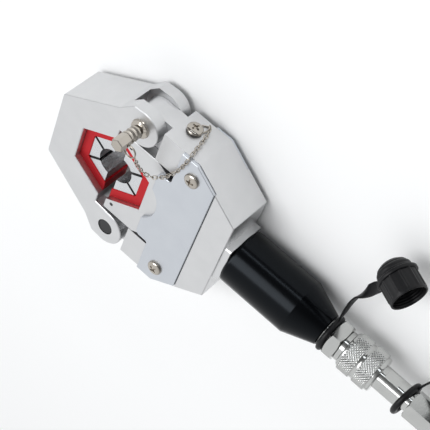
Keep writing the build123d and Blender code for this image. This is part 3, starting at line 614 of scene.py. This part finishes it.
def at_lengths(points, lengths):
    """Places at given lengths along a path, read between its points."""
    steps = np.linalg.norm(np.diff(points, axis=0), axis=1)
    passed = np.concatenate([[0], np.cumsum(steps)])
    return np.stack([np.interp(lengths, passed, points[:, k]) for k in range(3)], axis=-1)


# %% The chain's route, in millimetres
CHAIN_ROUTE = [
    (57.2, 83.4, -14.6), (60.6, 84.2, -10.0), (62.4, 84.4, -1.6), (64.2, 84.6, 5.6),
    (65.6, 84.6, 13.2), (67.4, 84.8, 21.4), (67.6, 78.8, 25.9), (64.4, 66.4, 25.7),
    (59.6, 55.0, 25.5), (54.2, 45.6, 25.4), (47.4, 37.6, 25.9), (39.8, 36.2, 28.6),
    (34.6, 43.2, 33.6), (33.2, 52.6, 39.0), (32.6, 60.0, 42.2),
]
chain_path, chain_length = smooth_path("chain_route", CHAIN_ROUTE)
print("chain length:", round(chain_length, 4))

# %% [markdown]
# ## The chain's links
# Each link is a bent and welded piece of wire, a stadium: two half circles joined by straight
# sides. One link repeated by an array would make every joint the same, and in a slack chain no
# two are. So each link is set along the route on its own, turned a quarter from the one before,
# with a small lean that changes from link to link.

# %% One link
LINK_WIRE = 0.00050
LINK_PITCH = 0.0038
LINK_HALF_WIDTH = 0.00140


def chain_link(middle, along, flat, steps=20, around=8):
    """One closed link. Its core is a circle of the half width, whose two halves are moved apart
    along the link by the straight side. The wire goes round the core: cosine outwards and sine
    upwards. flat is the direction across the link's broad side."""
    along, flat = Vector(along).normalized(), Vector(flat)
    across = flat.cross(along).normalized()
    thick = along.cross(across)
    turn = np.linspace(0, 2 * np.pi, steps, endpoint=False)
    straight = (LINK_PITCH + 2 * LINK_WIRE) / 2 - LINK_HALF_WIDTH
    out = np.stack([np.cos(turn), np.sin(turn)], axis=-1)
    core = LINK_HALF_WIDTH * out
    core[:, 0] += straight * np.sign(np.round(out[:, 0], 6))
    section = np.linspace(0, 2 * np.pi, around, endpoint=False)[None, :, None]
    plane = core[:, None] + LINK_WIRE * np.cos(section) * out[:, None]
    lift = np.broadcast_to(LINK_WIRE * np.sin(section), (steps, around, 1))
    local = np.concatenate([plane, lift], axis=-1)
    points = local @ np.array([along, across, thick]) + np.array(middle)
    return points, quads(steps, around, round_rows=True)


print("link size in mm:", round(1000 * (LINK_PITCH + 4 * LINK_WIRE), 2), "by",
      round(2000 * (LINK_HALF_WIDTH + LINK_WIRE), 2))

# %% The chain
FIRST_LINK = 0.3 * LINK_PITCH
LINK_LEAN, LEAN_SWAY, SWAY_RATE = 22, 14, 1.7

link_count = int(chain_length / LINK_PITCH)
link_lengths = np.linspace(FIRST_LINK, chain_length - FIRST_LINK, link_count)
link_places = at_lengths(chain_path, link_lengths)
link_frames = zip(link_places, *frames(link_places, (0.3, 0.5, 0.8)))
chain_links = []
for k, (middle, along, side, lift) in enumerate(link_frames):
    lean = math.radians(LINK_LEAN + 90 * (k % 2) + LEAN_SWAY * math.sin(SWAY_RATE * k))
    chain_links.append(chain_link(middle, along, math.cos(lean) * side + math.sin(lean) * lift))
chain = make_piece("link_chain", *several(chain_links), None, "nickel", ["chain"], sharp_angle=70)
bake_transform(chain)
print("links:", link_count)

# %% [markdown]
# ## Knurling
# The coupler's sleeve is turned by hand, so two bands of it are knurled: two sets of slanting
# grooves cross and leave rows of little diamonds. A bump would shade them but leave the sleeve's
# edge smooth, so they are cut into the mesh. Both sets of grooves are triangle waves, of the
# angle plus the length along the band and of the angle minus it. Between the grooves a point
# keeps its radius, and in a groove it drops by the knurl's depth.

# %% The knurl's depth
KNURL_PITCH = 0.0027
KNURL_DEPTH = 0.00085
KNURL_STEEPNESS = 1.2

low, high, centre = box_of("coupler_sleeve")
SLEEVE_RADIUS = (high[1] - low[1]) / 2
diamonds = int(round(2 * np.pi * SLEEVE_RADIUS / KNURL_PITCH))


def knurl(along, angle):
    """Depth below the band: the knurl's depth times (1 - the two triangle waves' lower value),
    where that value is steepened and cut off at 1, which leaves the diamonds flat."""
    first = (diamonds * angle / (2 * np.pi) + along / KNURL_PITCH) % 1
    second = (diamonds * angle / (2 * np.pi) - along / KNURL_PITCH) % 1
    ridge = np.minimum(1 - abs(2 * first - 1), 1 - abs(2 * second - 1))
    return KNURL_DEPTH * (1 - np.clip(KNURL_STEEPNESS * ridge, 0, 1))


print("diamonds round the sleeve:", diamonds)

# %% Rows of the sleeve
BAND, BAND_ROWS = 0.0124, 44
EDGE_SLOPE = 0.0007


def band_rows(start):
    """Rows across a knurled band, as places, radii and shares of the knurl. The share rises from
    0 to 1 over a short slope at each edge, where the knurling wheel stopped, and the radius
    drops there by the slope times (1 - share) to the power 1.5."""
    along = np.linspace(0, BAND, BAND_ROWS)
    share = np.clip(np.minimum(along, BAND - along) / EDGE_SLOPE, 0, 1)
    return start + along, SLEEVE_RADIUS - EDGE_SLOPE * (1 - share) ** 1.5, share


def plain_rows(pairs):
    """Rows that aren't knurled, from (x, radius) pairs: their share of the knurl is 0."""
    places, radii = np.array(pairs).T
    return places, radii, 0 * places


print("steps across a band in mm:", round(1000 * BAND / (BAND_ROWS - 1), 2))

# %% Knurled sleeve
LEAD, WAIST = 0.0026, 0.0032
WAIST_RADIUS, END_RADIUS = 0.0170, 0.0164
INNER_FRONT, INNER_BACK, LIP = 0.01405, 0.01105, 0.0045
COLUMNS_PER_DIAMOND = 6

front_x, end_x = low[0], high[0]
first_x = front_x + LEAD
second_x = first_x + BAND + WAIST
rear_x = second_x + BAND
lead_in = [(front_x, INNER_FRONT), (front_x, 0.0152), (front_x + 0.0003, 0.0156),
           (front_x + 0.0009, 0.0162), (front_x + 0.0014, 0.01645), (first_x - 0.0002, 0.0166)]
waist = [(first_x + BAND + 0.0001, WAIST_RADIUS), (first_x + BAND + 0.0005, WAIST_RADIUS - 0.0002),
         (second_x - 0.0005, WAIST_RADIUS - 0.0002), (second_x - 0.0001, WAIST_RADIUS)]
tail = [(rear_x + 0.0001, 0.0169), (rear_x + 0.0002, END_RADIUS), (end_x - 0.0010, END_RADIUS),
        (end_x - 0.0005, END_RADIUS - 0.0002), (end_x - 0.00015, END_RADIUS - 0.0006),
        (end_x, 0.0155), (end_x, INNER_BACK), (end_x - LIP, INNER_BACK),
        (end_x - LIP, INNER_FRONT), (front_x, INNER_FRONT)]
sections = [plain_rows(lead_in), band_rows(first_x), plain_rows(waist), band_rows(second_x),
            plain_rows(tail)]
along, radius, share = (np.concatenate(rows)[:, None] for rows in zip(*sections))
angle = np.linspace(0, 2 * np.pi, COLUMNS_PER_DIAMOND * diamonds, endpoint=False)[None, :]
radius = radius - share * knurl(along, angle)
sleeve = np.stack([np.broadcast_to(along, radius.shape), radius * np.cos(angle),
                   radius * np.sin(angle)], axis=-1)
make_piece("knurled_sleeve", sleeve, quads(len(along), angle.size), "sleeve", "zinc_plate",
           ["coupler_sleeve"], sharp_angle=50)

# %% [markdown]
# ## Moulded caps
# When the coupler is parted, a rubber cap covers each half. A cap is a thin cup with upright grip
# ribs, a brim, and a domed back with rings moulded in it. It could be put together from a cup,
# a dome and twelve bars, but a moulding has no seams. So all of it is one profile turned about
# the cap's axis, and the ribs are added to the cup's radius as narrow humps.

# %% Cap sizes
CAP_TILT = math.radians(25.0)
CAP_AXIS = np.array([math.cos(CAP_TILT), 0, math.sin(CAP_TILT)])
CAP_RADIUS, CAP_WALL, CAP_DEPTH = 0.0156, 0.0015, 0.018
BRIM_RADIUS, BRIM, BRIM_ROUND = 0.0172, 0.0032, 0.0009
DOME_RADIUS, DOME_HEIGHT, DOME_POWER = 0.0150, 0.0120, 0.85
DOME_RIDGES, RIDGE_DEPTH = 4, 0.0006
CAP_RIBS, RIB_HEIGHT = 12, 0.0006
RING_PITCH, RING_DEPTH = 0.0023, 0.00035
MOUTH = BRIM + CAP_DEPTH


def cap_place(node):
    """The brim's middle: the box's highest x and z less the reach of the mouth's rim, which is
    the mouth's distance along the axis plus the cap's radius square to it."""
    low, high, centre = box_of(node)
    reach = MOUTH * CAP_AXIS + CAP_RADIUS * np.array([CAP_AXIS[2], 0, CAP_AXIS[0]])
    return np.array([high[0] - reach[0], centre[1], high[2] - reach[2]])


print("the dust cap's brim is at", np.round(cap_place("dust_cap"), 4).tolist())

# %% The cap's profile
def dome_rows():
    """(height, radius) pairs over the dome, from its tip to the brim: an ellipse made squarer by
    a power of 0.85. Its size dips by the ridge depth between each pair of rings, as one minus the
    root of a cosine."""
    angle = np.linspace(np.pi / 2, 0.02, 64)
    wave = np.abs(np.cos(angle / (np.pi / 2) * (DOME_RIDGES + 0.5) * np.pi))
    dip = RIDGE_DEPTH * (1 - wave**0.5) * (angle < 1.4)
    return np.stack([-(DOME_HEIGHT - dip) * np.sin(angle) ** DOME_POWER,
                     (DOME_RADIUS - dip) * np.cos(angle) ** DOME_POWER], axis=-1)


def brim_rows():
    """(height, radius) pairs round the brim: two quarter circles, as sines and cosines."""
    bend = np.linspace(0, np.pi / 2, 5)
    rise, fall = BRIM_ROUND * np.sin(bend), BRIM_ROUND * np.cos(bend)
    near = np.stack([BRIM_ROUND - fall, BRIM_RADIUS - BRIM_ROUND + rise], axis=-1)
    far = np.stack([BRIM - BRIM_ROUND + rise, BRIM_RADIUS - BRIM_ROUND + fall], axis=-1)
    return np.concatenate([near, far])


def cup_rows():
    """(height, radius) pairs up the cup, over its lip, down inside it and across its floor. The
    inner wall is narrower wherever a sine of its height is above 0.2, which makes its rings."""
    inside = CAP_RADIUS - CAP_WALL
    cup = np.stack([np.linspace(BRIM + 0.0002, MOUTH - 0.0006, 24), np.full(24, CAP_RADIUS)],
                   axis=-1)
    lip = [[MOUTH - 0.0003, CAP_RADIUS - 0.0001], [MOUTH, CAP_RADIUS - 0.0005],
           [MOUTH, inside + 0.0004], [MOUTH - 0.0004, inside]]
    inner = np.stack([np.linspace(MOUTH - 0.001, BRIM + 0.001, 30), np.full(30, inside)], axis=-1)
    inner[:, 1] -= RING_DEPTH * (np.sin(inner[:, 0] * 2 * np.pi / RING_PITCH) > 0.2)
    cup_floor = [[BRIM + 0.0002, inside - 0.0012], [BRIM, 0.006], [BRIM, 0]]
    return np.concatenate([cup, lip, inner, cup_floor])


print("rows of the profile:", len(dome_rows()), len(brim_rows()), len(cup_rows()))

# %% Caps
RIB_COLUMNS = 16
RIB_TURN = 0.13
RIB_STOP, RIB_FADE = 0.0022, 0.0008


def cap_skin(place):
    """The cap's whole closed skin, inside and out: height along the axis, radius times the cosine
    to one side and times the sine to the other. A rib is a cosine of twelve times the angle with
    its lower part cut away, and it fades out below the mouth."""
    shoulder = [[0, DOME_RADIUS], [0, BRIM_RADIUS - 0.0015]]
    rows = np.concatenate([dome_rows(), shoulder, brim_rows(), cup_rows()])
    height, radius = rows[:, :1], rows[:, 1:]
    angle = np.linspace(0, 2 * np.pi, RIB_COLUMNS * CAP_RIBS, endpoint=False)[None, :]
    on_cup = (height > BRIM) & (radius > CAP_RADIUS - 0.0001)
    rib_end = np.clip((MOUTH - RIB_STOP - height) / RIB_FADE, 0, 1)
    hump = np.clip(1.6 * np.cos(CAP_RIBS * (angle + RIB_TURN)) - 0.9, 0, 0.6) / 0.6
    radius = radius + on_cup * rib_end * RIB_HEIGHT * hump
    side = np.array([-CAP_AXIS[2], 0, CAP_AXIS[0]])
    other = np.cross(CAP_AXIS, side)
    points = (height[..., None] * CAP_AXIS + (radius * np.cos(angle))[..., None] * side
              + (radius * np.sin(angle))[..., None] * other)
    return points + place, quads(len(rows), angle.size)


for cap in ("dust_cap", "plug_cap"):
    make_piece(cap + "_moulding", *cap_skin(cap_place(cap)), cap, "black_rubber", [cap],
               sharp_angle=45)

# %% [markdown]
# ## Straps
# A flat rubber strap ties each cap to a ring round the coupler. It leaves the ring standing on
# edge and twists until it lies flat on the brim. A bevelled curve could do it, with a tilt at
# each point, but a tilt is hard to read. Here a rounded rectangle is carried along the route, and
# turned by a direction that is written down for eight places on the way.

# %% Strap routes, in millimetres from the ring's middle
FIRST_STRAP = [
    (0.0, 14.8, -3.2), (-1.0, 34.0, -6.4), (1.0, 51.0, -5.4), (6.2, 67.0, -1.6),
    (10.4, 84.2, 3.8), (15.6, 100.0, 9.0),
]
SECOND_STRAP = [
    (2.6, 13.0, -6.0), (7.0, 29.0, -8.0), (14.0, 43.0, -6.4), (20.6, 57.0, -2.0),
    (25.2, 70.0, 3.8), (29.7, 84.0, 9.0),
]
STRAP_FACES = [
    (-0.98, -0.02, 0.19), (-0.93, -0.09, -0.36), (-0.89, 0.13, -0.44), (-0.89, 0.31, -0.33),
    (-0.90, 0.14, 0.42), (-0.48, -0.15, 0.87), (-0.38, -0.18, 0.91), (0.16, -0.35, 0.92),
]
STRAP_WIDTHS = (0.0046, 0.0050, 0.0058, 0.0070, 0.0088, 0.0100, 0.0098, 0.0090)
STRAP_THICKNESS = 0.0018
print("widest part of a strap:", max(STRAP_WIDTHS))

# %% Straps
STRAP_ROWS, STRAP_COLUMNS = 70, 24


def strap_skin(route):
    """A rounded rectangle along the route. Its broad face and its width are read between the
    eight written ones. The rectangle is a circle with its cosine raised to the power 0.35 and
    its sine to 0.7, each with its sign, times half the width and half the thickness."""
    line, length = smooth_path("strap", route)
    way = np.linspace(0, 1, STRAP_ROWS)
    path = at_lengths(line, way * length)
    keys = np.linspace(0, 1, len(STRAP_FACES))
    written = np.array(STRAP_FACES)
    face = np.stack([np.interp(way, keys, written[:, k]) for k in range(3)], axis=-1)
    tangent, across, lift = frames(path, face)
    turn = np.linspace(0, 2 * np.pi, STRAP_COLUMNS, endpoint=False)
    box_across = np.sign(np.cos(turn)) * np.abs(np.cos(turn)) ** 0.35
    box_lift = np.sign(np.sin(turn)) * np.abs(np.sin(turn)) ** 0.7
    half_width = np.interp(way, keys, STRAP_WIDTHS) / 2
    points = (path[:, None] + (half_width[:, None] * box_across)[..., None] * across[:, None]
              + (STRAP_THICKNESS / 2 * box_lift)[None, :, None] * lift[:, None])
    ends = np.repeat(points[[0, -1]].mean(axis=1, keepdims=True), STRAP_COLUMNS, axis=1)
    points = np.concatenate([ends[:1], points, ends[1:]])
    return points, quads(len(points), STRAP_COLUMNS)


for cap, route in (("dust_cap", FIRST_STRAP), ("plug_cap", SECOND_STRAP)):
    ring_x = 1000 * box_of(cap + "_ring")[2][0]
    placed = [(x + ring_x, y, z) for x, y, z in route]
    make_piece(cap + "_tether", *strap_skin(placed), cap, "black_rubber", [cap + "_strap"])

# %% [markdown]
# ## The dressed tool's size
# The dressed tool should be no larger than the construction that it covers. The construction's
# box was measured before any piece was made.

# %% The end
print("all pieces made")
